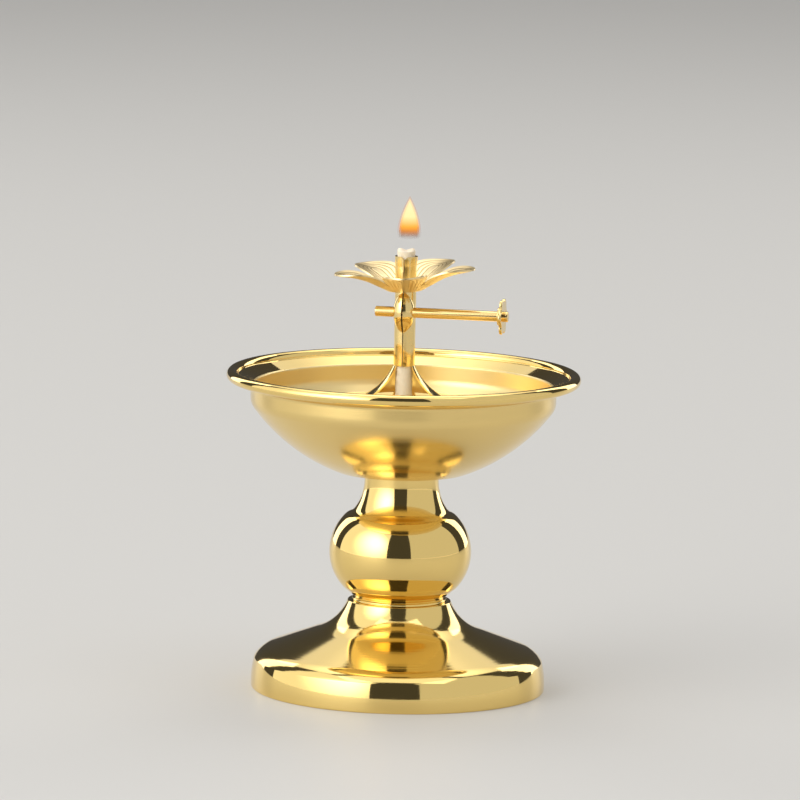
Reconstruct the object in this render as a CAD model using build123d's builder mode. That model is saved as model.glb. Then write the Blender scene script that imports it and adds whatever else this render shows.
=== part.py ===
from build123d import *
import os
from math import asin, atan2, ceil, cos, degrees, radians, sin, sqrt, tan

os.makedirs("parts", exist_ok=True)

# Sizes in millimetres and degrees. The lamp stands on z = 0 and its axis is the Z axis.

# Base: a spun foot, hollow underneath, with a turned-in lip to stand on
base_height = 22.75
base_stand_radius = 37.4
base_belly_bulge = 0.05
base_edge_inset = 0.7
base_band_height = 7.5
base_slope_angle = 20.5
base_shoulder_width = 3.5
base_slope_outer_height = 10.3
base_slope_inner_radius = 21.0
base_neck_radius = 13.1
base_wall = 1.2
base_lip_width = 3.0
base_seat_thickness = 1.6

# Stem: one spun shell with a collar, a flattened ball and a flared neck
stem_height = 33.05
stem_wall = 1.2
collar_radius = 12.0
collar_height = 0.6
waist_radius = 11.4
waist_step = 0.3
ball_radius = 18.1
ball_section_radius = 13.1
ball_centre_height = 12.45
ball_below_centre = 8.9
ball_above_centre = 9.8
cove_radius = 12.4
cove_step = 0.4
cove_height = 8.1
neck_radius = 9.45

# Bowl: a spun dish with a sloping lip rolled over a wire
bowl_height = 25.7
bowl_foot_radius = 16.3
bowl_body_radius = 38.8
bowl_corner_radius = 4.0
bowl_upright_height = 3.0
bowl_wall = 0.9
lip_width = 6.2
rim_bead_radius = 1.45
throat_round = 0.3
throat_drop = 2.0

# Fastening inside the stem: boss brazed under the bowl, tie rod, washers and nut
boss_height = 10.0
boss_clearance = 0.25
boss_roof = 2.0
rod_radius = 2.5
rod_clearance = 0.05
rod_hole_clearance = 0.3
rod_end = 1.0
washer_radius = 9.0
washer_thickness = 1.2
spring_washer_radius = 4.6
spring_washer_thickness = 1.3
spring_washer_gap = 1.0
nut_across_flats = 8.0
nut_height = 4.0
nut_chamfer = 0.5

# Wick tube: rolled sheet with a front seam, flaring below into three legs
tube_radius = 2.7
tube_wall = 0.45
tube_height = 27.9
tube_root_above_rim = 1.5
seam_width = 0.2
seam_notch_width = 1.6
seam_notch_depth = 0.8
leg_root_angle = 24.0
leg_bend_radius = 16.5
leg_bend_angle = 32.0
leg_azimuths = (100.0, 205.0, 355.0)
leg_root_width = 1.2
leg_foot_width = 12.0
leg_clearance = 0.3
skirt_radius = 10.0

# Pocket pressed out of the tube's front, pointed above and below, that carries the spindle
pocket_radius = 2.75
pocket_half_height = 5.6
spindle_below_tube_top = 14.1
spindle_offset = 1.9
spindle_running_clearance = 0.06

# Lotus dish: one stamped sheet with five petals, resting on dimples of the tube
lotus_below_tube_top = 8.8
lotus_thickness = 0.4
lotus_bore_clearance = 0.1
lotus_hub_radius = 3.8
lotus_petals = 5
lotus_first_azimuth = 281.0
lotus_radius = 18.5
lotus_petal_width = 11.2
lotus_petal_belly_radius = 12.0
lotus_petal_root_width = 5.6
lotus_rise_angle = 29.0
lotus_rise_bend = 2.0
lotus_level_bend = 24.0
lotus_tip_angle = 10.0
lotus_level_radius = 8.0
lotus_tilt = 3.5
lotus_tilt_azimuth = 24.0
dimple_count = 3
dimple_radius = 0.6
dimple_sink = 0.25
dimple_gap = 0.08

# Spindle with a toothed feed wheel, and its flower knob
spindle_radius = 1.3
spindle_left = 7.3
spindle_right = 26.9
spindle_chamfer = 0.3
wheel_width = 2.0
wheel_root_radius = 1.35
wheel_tip_radius = 1.75
wheel_teeth = 10
wheel_tooth_width = 0.62
knob_position = 25.0
knob_thickness = 0.8
knob_lobes = 6
knob_radius = 4.8
knob_lobe_radius = 1.45
knob_web_radius = 3.9
knob_hub_radius = 2.3
knob_hub_height = 0.7
knob_clearance = 0.02
knob_edge = 0.2

# Wick: a round cotton cord, pressed to a half round where the feed wheel grips it
wick_radius = 2.0
wick_above_tube = 2.0
wick_floor_gap = 2.3
wick_flat = 0.1
wick_raise = 6.0
wick_lower = 2.0
wick_flat_margin = 0.4
wick_top_edge = 0.8

# Small bends and hidden hollows are drawn in straight runs that turn by this much at most
run_angle = 20.0

# Heights that follow from the stack of pieces
stem_base = base_height
stem_top = stem_base + stem_height
bowl_foot = stem_top
bowl_floor = bowl_foot + bowl_wall
rim_top = bowl_foot + bowl_height
tube_root = rim_top + tube_root_above_rim
tube_top = tube_root + tube_height
spindle_height = tube_top - spindle_below_tube_top
lotus_height = tube_top - lotus_below_tube_top
seat_underside = base_height - base_seat_thickness
washer_underside = seat_underside - washer_thickness
spring_washer_underside = washer_underside - spring_washer_thickness
nut_underside = spring_washer_underside - nut_height


def draw_runs(arc):
    """Draw straight runs between points on an arc, so that it turns into a few cones."""
    runs = ceil(degrees(arc.length / arc.radius) / run_angle)
    Polyline(*[arc @ (step / runs) for step in range(runs + 1)])


def base_skin(inset, top, bottom, draw_arc):
    """Draw the base's outer curve, moved in by inset, from its neck at top to its stand at bottom."""
    slope = radians(base_slope_angle)
    shift_r = inset * sin(slope)
    shift_z = inset * cos(slope)
    edge_radius = base_stand_radius - base_edge_inset
    slope_outer_radius = edge_radius - base_shoulder_width
    slope_rise = (slope_outer_radius - base_slope_inner_radius) * tan(slope)
    neck = (base_neck_radius - inset, top)
    flare = (base_slope_inner_radius - shift_r, base_slope_outer_height + slope_rise - shift_z)
    shoulder = (slope_outer_radius - shift_r, base_slope_outer_height - shift_z)
    edge = (edge_radius - inset, base_band_height - shift_r)
    belly = (base_stand_radius + base_belly_bulge - inset, base_band_height / 3)
    stand = (base_stand_radius - inset, bottom)
    draw_arc(TangentArc(flare, neck, tangent=(-cos(slope), sin(slope)), mode=Mode.PRIVATE))
    Line(flare, shoulder)
    draw_arc(TangentArc(shoulder, edge, tangent=(cos(slope), -sin(slope)), mode=Mode.PRIVATE))
    draw_arc(ThreePointArc(edge, belly, stand, mode=Mode.PRIVATE))
    return neck, stand


def bent_sheet(start, heading, moves, thickness):
    """Draw the closed outline of a bent sheet around a centre line that starts at start.

    heading is in degrees from +X. A move is (length, 0) for a straight run, or (radius, turn)
    for a bend by turn degrees, positive to the left. Both faces follow the centre line at half
    the thickness.
    """
    faces = []
    for side in (thickness / 2, -thickness / 2):
        angle = heading
        point = Vector(*start) + Vector(-sin(radians(angle)), cos(radians(angle))) * side
        ends = [point]
        for size, turn in moves:
            forward = Vector(cos(radians(angle)), sin(radians(angle)))
            if turn == 0:
                arrival = point + forward * size
                Line(point, arrival)
            else:
                bend = size - side if turn > 0 else size + side
                arc = JernArc(point, forward, bend, turn, mode=Mode.PRIVATE)
                draw_runs(arc)
                arrival = arc @ 1
                angle += turn
            point = arrival
            ends.append(point)
        faces.append(ends)
    Line(faces[0][0], faces[1][0])
    Line(faces[0][-1], faces[1][-1])


# Base
with BuildPart() as base:
    with BuildSketch(Plane.XZ):
        with BuildLine():
            skin_neck, skin_stand = base_skin(0, base_height, 0, add)
            Polyline(skin_neck, (0, base_height), (0, 0), skin_stand)
        make_face()
    revolve(axis=Axis.Z)
    with BuildSketch(Plane.XZ):
        with BuildLine():
            hollow_neck, hollow_stand = base_skin(base_wall, seat_underside, base_wall, draw_runs)
            lip_radius = base_stand_radius - base_lip_width
            Polyline(hollow_neck, (0, seat_underside), (0, 0), (lip_radius, 0))
            Polyline((lip_radius, 0), (lip_radius, base_wall), hollow_stand)
        make_face()
    revolve(axis=Axis.Z, mode=Mode.SUBTRACT)
    with Locations((0, 0, base_height)):
        Hole(rod_radius + rod_hole_clearance)
base.part.label = "base"
export_step(base.part, "parts/base.step")

# Stem, drawn as one closed wall section and turned about the axis
ball_axis_radius = ball_radius - ball_section_radius
ball_height = stem_base + ball_centre_height
ball_low = ball_axis_radius + sqrt(ball_section_radius**2 - ball_below_centre**2)
ball_high = ball_axis_radius + sqrt(ball_section_radius**2 - ball_above_centre**2)
ball_inner_radius = ball_section_radius - stem_wall
waist_height = stem_base + collar_height + waist_step
cove_foot_height = ball_height + ball_above_centre + cove_step
cove_top_height = cove_foot_height + cove_height
neck_bore = neck_radius - stem_wall
waist_bore = waist_radius - stem_wall
neck_bore_end = ball_height + sqrt(ball_inner_radius**2 - (neck_bore - ball_axis_radius) ** 2)
waist_bore_end = ball_height - sqrt(ball_inner_radius**2 - (waist_bore - ball_axis_radius) ** 2)
with BuildPart() as stem:
    with BuildSketch(Plane.XZ):
        with BuildLine():
            Polyline(
                (waist_bore, waist_bore_end),
                (waist_bore, stem_base),
                (collar_radius, stem_base),
                (collar_radius, stem_base + collar_height),
                (waist_radius, waist_height),
                (ball_low, ball_height - ball_below_centre),
            )
            ThreePointArc(
                (ball_low, ball_height - ball_below_centre),
                (ball_radius, ball_height),
                (ball_high, ball_height + ball_above_centre),
            )
            Line((ball_high, ball_height + ball_above_centre), (cove_radius, cove_foot_height))
            TangentArc((neck_radius, cove_top_height), (cove_radius, cove_foot_height), tangent=(0, -1))
            Polyline(
                (neck_radius, cove_top_height),
                (neck_radius, stem_top),
                (neck_bore, stem_top),
                (neck_bore, neck_bore_end),
            )
            ball_hollow = ThreePointArc(
                (neck_bore, neck_bore_end),
                (ball_axis_radius + ball_inner_radius, ball_height),
                (waist_bore, waist_bore_end),
                mode=Mode.PRIVATE,
            )
            draw_runs(ball_hollow)
        make_face()
    revolve(axis=Axis.Z)
stem.part.label = "stem"
export_step(stem.part, "parts/stem.step")

# Bowl: spherical body, rounded corner, short upright wall, sloping lip and wired bead
bead_radius_at = bowl_body_radius + lip_width - rim_bead_radius
bead_height = rim_top - rim_bead_radius
bowl_inner_radius = bowl_body_radius - bowl_wall
throat_radius = bowl_inner_radius + throat_round
throat_height = bead_height - throat_drop
bead = Vector(bead_radius_at, bead_height)
throat = Vector(throat_radius, throat_height)
lip_span = (bead - throat).length
lip_slope = atan2(throat_drop, bead_radius_at - throat_radius) + asin(bowl_wall / 2 / lip_span)
lip_along = Vector(cos(lip_slope), sin(lip_slope))
lip_across = Vector(-sin(lip_slope), cos(lip_slope)) * (bowl_wall / 2)
lip_end = bead - lip_along * sqrt(rim_bead_radius**2 - (bowl_wall / 2) ** 2)
lip_below = lip_end - lip_across
lip_above = lip_end + lip_across
lip_underside = lip_below.Y - (lip_below.X - bowl_body_radius) * tan(lip_slope)

# The bowl's sphere passes through the foot's edge and runs on into the corner without a crease
corner_radius_at = bowl_body_radius - bowl_corner_radius
corner_height = lip_underside - bowl_upright_height
corner_rise = corner_height - bowl_foot
corner_share = corner_rise / bowl_corner_radius
corner_power = bowl_foot_radius**2 - corner_radius_at**2 - corner_rise**2 + bowl_corner_radius**2
corner_reach = corner_power / (2 * bowl_corner_radius)
sphere_root = sqrt(corner_reach**2 + (corner_share**2 - 1) * bowl_foot_radius**2)
sphere_rise = (sphere_root - corner_reach * corner_share) / (corner_share**2 - 1)
sphere_centre = bowl_foot + sphere_rise
bowl_sphere_radius = sqrt(bowl_foot_radius**2 + sphere_rise**2)
corner_drop = sphere_centre - corner_height


def sphere_height(inset, radius):
    """Height of the bowl's sphere, moved in by inset, at a distance radius from the axis."""
    return sphere_centre - sqrt((bowl_sphere_radius - inset) ** 2 - radius**2)


def bowl_skin(inset, level, top):
    """Draw the bowl's side, moved in by inset, from its flat at level to the wall's end at top."""
    sphere = bowl_sphere_radius - inset
    corner = bowl_corner_radius - inset
    flat_radius = sqrt(sphere**2 - (sphere_centre - level) ** 2)
    meeting = sphere / (bowl_sphere_radius - bowl_corner_radius)
    meeting_radius = corner_radius_at * meeting
    middle_radius = (flat_radius + meeting_radius) / 2
    upright = Vector(corner_radius_at + corner, corner_height)
    flat = Vector(flat_radius, level)
    joint = Vector(meeting_radius, sphere_centre - corner_drop * meeting)
    middle = Vector(middle_radius, sphere_height(inset, middle_radius))
    outward = (joint - Vector(corner_radius_at, corner_height)).normalized() + Vector(1, 0)
    knuckle = Vector(corner_radius_at, corner_height) + outward.normalized() * corner
    ThreePointArc(flat, middle, joint)
    ThreePointArc(joint, knuckle, upright)
    Line(upright, (upright.X, top))
    return flat


with BuildPart() as bowl:
    with BuildSketch(Plane.XZ):
        with BuildLine():
            outer_flat = bowl_skin(0, bowl_foot, lip_underside)
            inner_flat = bowl_skin(bowl_wall, bowl_floor, throat_height - throat_round)
            Polyline(outer_flat, (0, bowl_foot), (0, bowl_floor), inner_flat)
            Line((bowl_body_radius, lip_underside), lip_below)
            bead_front = bead + lip_along * rim_bead_radius
            draw_runs(ThreePointArc(lip_below, bead_front, lip_above, mode=Mode.PRIVATE))
            Polyline(lip_above, throat, (bowl_inner_radius, throat_height - throat_round))
        make_face()
    revolve(axis=Axis.Z)
bowl.part.label = "bowl"
export_step(bowl.part, "parts/bowl.step")

# Boss brazed under the bowl, which centres the neck and takes the tie rod
rod_top = bowl_foot - boss_roof
with BuildPart() as bowl_boss:
    with BuildSketch(Plane.XY.offset(bowl_foot - boss_height)):
        Circle(neck_bore - boss_clearance)
    extrude(amount=boss_height)
    with BuildSketch(Plane.XY.offset(bowl_foot - boss_height)):
        Circle(rod_radius + rod_clearance)
    extrude(amount=boss_height - boss_roof, mode=Mode.SUBTRACT)
bowl_boss.part.label = "bowl_boss"
export_step(bowl_boss.part, "parts/bowl_boss.step")

# Tie rod from the boss down through the stem and the base's seat
with BuildPart() as tie_rod:
    with BuildSketch(Plane.XY.offset(nut_underside - rod_end)):
        Circle(rod_radius)
    extrude(amount=rod_top - nut_underside + rod_end)
    chamfer(tie_rod.edges().filter_by(GeomType.CIRCLE), rod_end / 2)
tie_rod.part.label = "tie_rod"
export_step(tie_rod.part, "parts/tie_rod.step")

# Wide washer under the base's seat
with BuildPart() as base_washer:
    with BuildSketch(Plane.XY.offset(washer_underside)):
        Circle(washer_radius)
        Circle(rod_radius + rod_hole_clearance, mode=Mode.SUBTRACT)
    extrude(amount=washer_thickness)
base_washer.part.label = "base_washer"
export_step(base_washer.part, "parts/base_washer.step")

# Split spring washer, drawn pressed flat
with BuildPart() as spring_washer:
    with BuildSketch(Plane.XY.offset(spring_washer_underside)):
        Circle(spring_washer_radius)
        Circle(rod_radius + rod_clearance, mode=Mode.SUBTRACT)
        split_align = (Align.MIN, Align.CENTER)
        Rectangle(spring_washer_radius, spring_washer_gap, align=split_align, mode=Mode.SUBTRACT)
    extrude(amount=spring_washer_thickness)
spring_washer.part.label = "spring_washer"
export_step(spring_washer.part, "parts/spring_washer.step")

# Hexagon nut, its corners turned off under the chamfer
with BuildPart() as hex_nut:
    with BuildSketch(Plane.XY.offset(nut_underside)):
        RegularPolygon(nut_across_flats / 2, 6, major_radius=False)
        Circle(rod_radius + rod_clearance, mode=Mode.SUBTRACT)
    extrude(amount=nut_height)
    with BuildSketch(Plane.XY.offset(nut_underside)):
        Circle(nut_across_flats / 2 + nut_chamfer)
    extrude(amount=nut_height, mode=Mode.INTERSECT)
hex_nut.part.label = "hex_nut"
export_step(hex_nut.part, "parts/hex_nut.step")

# Wick tube. The legs' centre line bends out from the tube's root and then runs straight
# until it is leg_clearance from the bowl's inside.
sheet_radius = tube_radius - tube_wall / 2
leg_heading = -90.0 + leg_root_angle
run_heading = radians(leg_heading + leg_bend_angle)
bend_turn = radians(leg_bend_angle)
bend_chord = 2 * leg_bend_radius * sin(bend_turn / 2)
bend_heading = radians(leg_heading + leg_bend_angle / 2)
run_start_radius = sheet_radius + bend_chord * cos(bend_heading)
run_start_drop = sphere_centre - tube_root - bend_chord * sin(bend_heading)
run_limit = bowl_sphere_radius - bowl_wall - leg_clearance - tube_wall / 2
run_along = run_start_radius * cos(run_heading) - run_start_drop * sin(run_heading)
run_length = sqrt(run_along**2 - run_start_radius**2 - run_start_drop**2 + run_limit**2) - run_along
leg_reach = run_start_radius + run_length * cos(run_heading) + tube_wall
pocket_front = spindle_offset + pocket_radius
spindle_plane = Plane(origin=(0, -spindle_offset, spindle_height), x_dir=(0, 1, 0), z_dir=(1, 0, 0))
front_gap_azimuth = (leg_azimuths[1] + leg_azimuths[2]) / 2
front_gap_half = radians((leg_azimuths[2] - leg_azimuths[1]) / 2)
gap_reach = skirt_radius / cos(front_gap_half / 2)
pocket_plane = Plane(origin=(0, -spindle_offset, spindle_height), x_dir=(1, 0, 0), z_dir=(0, -1, 0))
pocket_axis = Axis((0, -spindle_offset, spindle_height), (0, 0, 1))


def pocket_section(inset):
    """Draw half of the pocket's lens-shaped section, moved in by inset."""
    half_height = pocket_half_height - inset * pocket_half_height / pocket_radius
    top = (0, half_height)
    bottom = (0, -half_height)
    draw_runs(ThreePointArc(bottom, (pocket_radius - inset, 0), top, mode=Mode.PRIVATE))
    Line(top, bottom)


with BuildPart() as wick_tube:
    with BuildSketch(Plane.XZ):
        with BuildLine():
            moves = [(leg_bend_radius, leg_bend_angle), (run_length, 0)]
            bent_sheet((sheet_radius, tube_root), leg_heading, moves, tube_wall)
        make_face()
    revolve(axis=Axis.Z)
    with BuildSketch(Plane.XY):
        Circle(skirt_radius)
        gap_corners = [(0, 0)]
        for corner in (-1, 0, 1):
            turn = radians(front_gap_azimuth) + corner * front_gap_half
            gap_corners.append((2 * gap_reach * cos(turn), 2 * gap_reach * sin(turn)))
        Polygon(*gap_corners, align=None, mode=Mode.SUBTRACT)
        for azimuth in leg_azimuths:
            leg_outline = [
                (0, -leg_root_width / 2),
                (leg_reach, -leg_foot_width / 2),
                (leg_reach, leg_foot_width / 2),
                (0, leg_root_width / 2),
            ]
            Polygon(*leg_outline, rotation=azimuth, align=None)
    extrude(amount=tube_top, mode=Mode.INTERSECT)
    with BuildSketch(Plane.XY.offset(tube_root)):
        Circle(tube_radius)
        Circle(tube_radius - tube_wall, mode=Mode.SUBTRACT)
    extrude(amount=tube_height)
    with BuildSketch(pocket_plane):
        with BuildLine():
            pocket_section(0)
        make_face()
    revolve(axis=pocket_axis)
    with BuildSketch(Plane.XY.offset(tube_root)):
        Circle(tube_radius - tube_wall)
    extrude(amount=tube_height, mode=Mode.SUBTRACT)
    with BuildSketch(pocket_plane):
        with BuildLine():
            pocket_section(tube_wall)
        make_face()
    revolve(axis=pocket_axis, mode=Mode.SUBTRACT)
    with BuildSketch(Plane.XZ):
        with Locations((0, tube_root)):
            Rectangle(seam_width, tube_height, align=(Align.CENTER, Align.MIN))
        notch_half = seam_notch_width / 2
        Polygon((-notch_half, tube_top), (0, tube_top - seam_notch_depth), (notch_half, tube_top), align=None)
    extrude(amount=pocket_front, mode=Mode.SUBTRACT)
    with BuildSketch(spindle_plane):
        Circle(spindle_radius + spindle_running_clearance)
    extrude(amount=pocket_radius, both=True, mode=Mode.SUBTRACT)
    with Locations((0, 0, lotus_height - dimple_radius - dimple_gap)):
        with PolarLocations(tube_radius - dimple_sink, dimple_count, start_angle=90):
            Sphere(dimple_radius)
    with BuildSketch(Plane.XY.offset(lotus_height - 2 * dimple_radius - dimple_gap)):
        Circle(tube_radius - tube_wall)
    extrude(amount=2 * dimple_radius, mode=Mode.SUBTRACT)
wick_tube.part.label = "wick_tube"
export_step(wick_tube.part, "parts/wick_tube.step")

# Lotus dish: a turned sheet that rises and levels off, cut to the outline of its petals
lotus_bore = tube_radius + lotus_bore_clearance
lotus_fall = lotus_rise_angle - lotus_tip_angle
rise_bend_reach = lotus_rise_bend * sin(radians(lotus_rise_angle))
hub_run = lotus_hub_radius - lotus_bore
rise_run = (lotus_level_radius - lotus_hub_radius - rise_bend_reach) / cos(radians(lotus_rise_angle))
level_reach = lotus_level_bend * (sin(radians(lotus_rise_angle)) - sin(radians(lotus_tip_angle)))
tip_run = (lotus_radius - lotus_level_radius - level_reach) / cos(radians(lotus_tip_angle))
with BuildPart() as lotus_dish:
    with BuildSketch(Plane.XZ):
        with BuildLine():
            moves = [
                (hub_run, 0),
                (lotus_rise_bend, lotus_rise_angle),
                (rise_run, 0),
                (lotus_level_bend, -lotus_fall),
                (tip_run, 0),
            ]
            bent_sheet((lotus_bore, lotus_height + lotus_thickness / 2), 0, moves, lotus_thickness)
        make_face()
    revolve(axis=Axis.Z)
    with BuildSketch(Plane.XY.offset(lotus_height)):
        Circle(lotus_hub_radius)
        with PolarLocations(0, lotus_petals, start_angle=lotus_first_azimuth):
            with BuildSketch(mode=Mode.PRIVATE) as petal:
                with BuildLine():
                    root = lotus_petal_root_width / 2
                    belly = lotus_petal_width / 2
                    ThreePointArc((0, root), (lotus_petal_belly_radius, belly), (lotus_radius, 0))
                    ThreePointArc((0, -root), (lotus_petal_belly_radius, -belly), (lotus_radius, 0))
                    Line((0, -root), (0, root))
                make_face()
            add(petal.sketch)
    extrude(amount=lotus_radius, mode=Mode.INTERSECT)
# The dish sits loosely on the tube, so it leans a little, up towards lotus_tilt_azimuth
lean = radians(lotus_tilt_azimuth)
lotus_lean_axis = Axis((0, 0, lotus_height), (sin(lean), -cos(lean), 0))
lotus_leaning = lotus_dish.part.rotate(lotus_lean_axis, lotus_tilt)
lotus_leaning.label = "lotus_dish"
export_step(lotus_leaning, "parts/lotus_dish.step")

# Spindle across the tube, with the teeth that draw the wick
with BuildPart() as spindle:
    with BuildSketch(spindle_plane.offset(-spindle_left)):
        Circle(spindle_radius)
    extrude(amount=spindle_left + spindle_right)
    chamfer(spindle.edges().filter_by(GeomType.CIRCLE), spindle_chamfer)
    with BuildSketch(spindle_plane):
        Circle(wheel_root_radius)
        with PolarLocations(wheel_root_radius, wheel_teeth):
            tooth_root = wheel_root_radius - spindle_radius + wheel_tooth_width / 4
            Polygon(
                (-tooth_root, -wheel_tooth_width / 2),
                (wheel_tip_radius - wheel_root_radius, 0),
                (-tooth_root, wheel_tooth_width / 2),
                align=None,
            )
    extrude(amount=wheel_width / 2, both=True)
spindle.part.label = "spindle"
export_step(spindle.part, "parts/spindle.step")

# Flower knob on the spindle's end
with BuildPart() as knob:
    with BuildSketch(spindle_plane.offset(knob_position)):
        Circle(knob_web_radius)
        with PolarLocations(knob_radius - knob_lobe_radius, knob_lobes):
            Circle(knob_lobe_radius)
    extrude(amount=knob_thickness)
    chamfer(knob.faces().filter_by(Axis.X).edges(), knob_edge)
    with BuildSketch(spindle_plane.offset(knob_position)):
        Circle(knob_hub_radius)
    extrude(amount=-knob_hub_height)
    with BuildSketch(spindle_plane.offset(knob_position)):
        Circle(spindle_radius + knob_clearance)
    extrude(amount=knob_thickness + knob_hub_height, both=True, mode=Mode.SUBTRACT)
knob.part.label = "knob"
export_step(knob.part, "parts/knob.step")

# Wick, with the flat that lets the feed wheel's teeth run past it over the whole travel
wick_bottom = bowl_floor + wick_floor_gap
wick_top = tube_top + wick_above_tube
flat_bottom = spindle_height - wheel_tip_radius - wick_raise - wick_flat_margin
flat_top = spindle_height + wheel_tip_radius + wick_lower + wick_flat_margin
with BuildPart() as wick:
    with BuildSketch(Plane.XY.offset(wick_bottom)):
        Circle(wick_radius)
    extrude(amount=wick_top - wick_bottom)
    chamfer(wick.edges().group_by(Axis.Z)[-1], wick_top_edge)
    with BuildSketch(Plane.XY.offset(flat_bottom)):
        with Locations((0, wick_flat)):
            Rectangle(2 * wick_radius, 2 * wick_radius, align=(Align.CENTER, Align.MAX))
    extrude(amount=flat_top - flat_bottom, mode=Mode.SUBTRACT)
wick.part.label = "wick"
export_step(wick.part, "parts/wick.step")
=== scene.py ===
# %% [markdown]
# # A brass butter lamp
# The lamp was built as solid parts first: a spun base, a ball stem, a shallow bowl, and a loose wick
# holder with a lotus dish and a feed knob. This notebook loads those parts as a fixed frame and dresses
# them. Every new piece is worked out in millimetres in the same frame, so it needs no fitting.

import bmesh
import bpy
import numpy as np
from mathutils import Matrix, Vector


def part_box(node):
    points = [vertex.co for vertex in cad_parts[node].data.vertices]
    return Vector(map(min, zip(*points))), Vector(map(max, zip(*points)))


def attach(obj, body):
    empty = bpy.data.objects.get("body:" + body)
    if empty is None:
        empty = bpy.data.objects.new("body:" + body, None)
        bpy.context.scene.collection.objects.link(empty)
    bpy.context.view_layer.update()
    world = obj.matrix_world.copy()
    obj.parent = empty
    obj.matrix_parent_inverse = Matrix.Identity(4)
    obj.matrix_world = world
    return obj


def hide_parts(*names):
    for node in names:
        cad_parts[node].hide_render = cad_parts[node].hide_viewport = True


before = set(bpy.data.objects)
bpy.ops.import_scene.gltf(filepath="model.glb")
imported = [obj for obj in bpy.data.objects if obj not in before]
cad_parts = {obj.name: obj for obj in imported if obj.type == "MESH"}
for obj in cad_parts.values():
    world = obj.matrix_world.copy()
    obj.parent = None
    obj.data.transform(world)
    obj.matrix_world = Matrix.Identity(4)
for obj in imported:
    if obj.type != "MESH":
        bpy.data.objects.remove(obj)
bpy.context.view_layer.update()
MM = 0.001


def new_object(name, data):
    """Put an object with this mesh, light or camera into the scene."""
    thing = bpy.data.objects.new(name, data)
    bpy.context.scene.collection.objects.link(thing)
    return thing


def top_of(node):
    """Height of a CAD node's highest point, in millimetres."""
    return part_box(node)[1].z / MM


BASE_TOP = top_of("base")
STEM_TOP = top_of("stem")
RIM_TOP = top_of("bowl")
TUBE_TOP = top_of("wick_tube")
WICK_TOP = top_of("wick")
print("heights in mm:", [round(z, 2) for z in (BASE_TOP, STEM_TOP, RIM_TOP, TUBE_TOP, WICK_TOP)])

# %% [markdown]
# ## Camera
# A long lens from almost two metres away keeps the rims nearly parallel, as product photographs do. The
# camera stands a little to the right of the lamp's front, looks down by eight degrees and leans by a
# degree. One function turns an azimuth and an elevation into a direction, and the lights use it too.

# %% Camera
VIEW_AZIMUTH = 11.0
VIEW_ELEVATION = 8.2
VIEW_ROLL = 1.2
VIEW_DISTANCE = 1740.0
AIM_HEIGHT = 74.06
AIM_SIDE = -0.85
FOCAL_PIXELS = 6856.0
PICTURE_PIXELS = 800.0
SENSOR_WIDTH = 36.0


def direction(azimuth, elevation):
    """Unit vector from the lamp to a viewer: azimuth 0 stands at -Y and 90 at +X."""
    turn, rise = np.radians((azimuth, elevation))
    return Vector((np.sin(turn) * np.cos(rise), -np.cos(turn) * np.cos(rise), np.sin(rise)))


camera_data = bpy.data.cameras.new("camera")
camera_data.sensor_width = SENSOR_WIDTH
camera_data.lens = FOCAL_PIXELS / PICTURE_PIXELS * SENSOR_WIDTH
camera_data.clip_end = 20.0
camera = new_object("camera", camera_data)
view = direction(VIEW_AZIMUTH, VIEW_ELEVATION)
sideways = direction(VIEW_AZIMUTH + 90.0, 0.0)
aim = (Vector((0, 0, AIM_HEIGHT)) + AIM_SIDE * sideways) * MM
facing = view.to_track_quat("Z", "Y").to_matrix().to_4x4()
lean = Matrix.Rotation(np.radians(VIEW_ROLL), 4, "Z")
camera.matrix_world = Matrix.Translation(aim + view * VIEW_DISTANCE * MM) @ facing @ lean
bpy.context.scene.camera = camera
print("lens", round(camera_data.lens, 1), "mm")

# %% [markdown]
# ## Nodes and colours
# Colours are written as sRGB hex values, as a paint program shows them, and one function turns them into
# the linear values of shaders. Another adds any node, with its settings and links. The short ones after it
# name what most finishes need.

# %% Helpers for materials


def linear(hex_colour):
    """Turn an sRGB hex colour into linear RGBA: a straight toe below 0.04045, then a power of 2.4."""
    channels = np.array([int(hex_colour[i:i + 2], 16) / 255 for i in (1, 3, 5)])
    toe = channels / 12.92
    curve = ((channels + 0.055) / 1.055) ** 2.4
    return (*np.where(channels <= 0.04045, toe, curve), 1.0)


def add_node(material, kind, inputs=None, **settings):
    """Add one shader node. inputs gives a socket a value, a socket to link, or a node (its first output)."""
    node = material.node_tree.nodes.new("ShaderNode" + kind)
    for name, value in settings.items():
        setattr(node, name, value)
    for key, value in (inputs or {}).items():
        if isinstance(value, bpy.types.Node):
            value = value.outputs[0]
        if isinstance(value, bpy.types.NodeSocket):
            material.node_tree.links.new(value, node.inputs[key])
        else:
            node.inputs[key].default_value = value
    return node


def new_finish(name, **sockets):
    """Start a material with a Principled shader whose sockets hold what is the same all over."""
    material = bpy.data.materials.new(name)
    material.use_nodes = True
    shader = material.node_tree.nodes["Principled BSDF"]
    for socket, value in sockets.items():
        shader.inputs[socket.replace("_", " ")].default_value = value
    print("finish:", name)
    return material


def plug(material, **outputs):
    """Let what changes over the surface drive sockets of the Principled shader."""
    shader = material.node_tree.nodes["Principled BSDF"]
    for socket, output in outputs.items():
        material.node_tree.links.new(output, shader.inputs[socket.replace("_", " ")])


def place_on(material):
    """Where a point lies in the piece's own axes, in metres."""
    return add_node(material, "TexCoord").outputs["Object"]


def noise(material, place, size, detail):
    """Cloudy noise with patches about size millimetres wide."""
    sockets = {"Vector": place, "Scale": 1 / (size * MM), "Detail": detail}
    return add_node(material, "TexNoise", sockets).outputs[0]


def ranged(material, value, start, end, low, high):
    """Carry a value that runs from start to end over to low and high, and hold it there outside."""
    sockets = {"Value": value, 1: start, 2: end, 3: low, 4: high}
    return add_node(material, "MapRange", sockets).outputs[0]


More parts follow.
